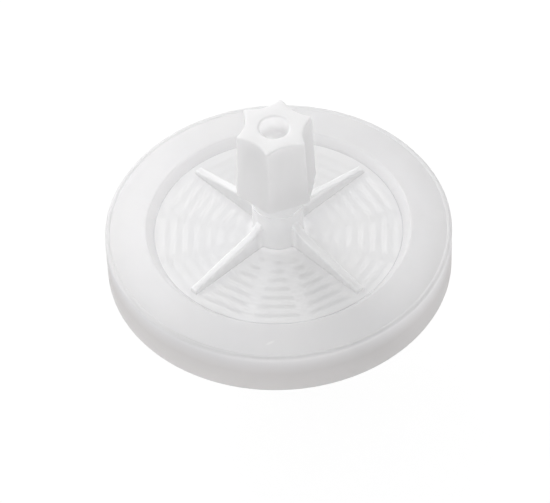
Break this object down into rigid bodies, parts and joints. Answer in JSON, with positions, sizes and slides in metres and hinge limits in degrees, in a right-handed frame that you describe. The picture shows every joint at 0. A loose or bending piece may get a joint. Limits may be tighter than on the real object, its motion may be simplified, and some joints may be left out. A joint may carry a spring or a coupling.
{
  "type": "in-line disc filter",
  "caption": "Round disc filter with translucent half shells in a sealing band, gusseted ports on both sides and fluted compression nuts for flexible tube.",
  "frame": {"origin": "middle of the disc, on the flow axis, at the half height of the whole filter", "axes": "+Z along the flow axis towards the inlet nut; +X midway between two gussets"},
  "size_m": [0.06, 0.06, 0.0584],
  "materials": {
    "shell_plastic": "natural translucent polypropylene, satin moulded surface",
    "band_plastic": "natural translucent polypropylene, satin moulded surface",
    "membrane": "matte white microporous film",
    "screen": "white plastic net",
    "nut_plastic": "opaque white moulded plastic, soft sheen"
  },
  "bodies": {
    "housing": {"inlet_shell": "shell_plastic", "outlet_shell": "shell_plastic", "inlet_port": "shell_plastic", "outlet_port": "shell_plastic", "sealing_band": "band_plastic", "filter_membrane": "membrane", "support_screen": "screen"},
    "inlet_nut": {"inlet_nut": "nut_plastic"},
    "outlet_nut": {"outlet_nut": "nut_plastic"}
  },
  "joints": [
    {"name": "inlet_nut_turn", "type": "hinge", "parent": "housing", "child": "inlet_nut", "pos_m": [0, 0, 0.0212], "axis": [0, 0, 1], "range_deg": [0, 1650]},
    {"name": "outlet_nut_turn", "type": "hinge", "parent": "housing", "child": "outlet_nut", "pos_m": [0, 0, -0.0212], "axis": [0, 0, -1], "range_deg": [0, 1650]}
  ]
}
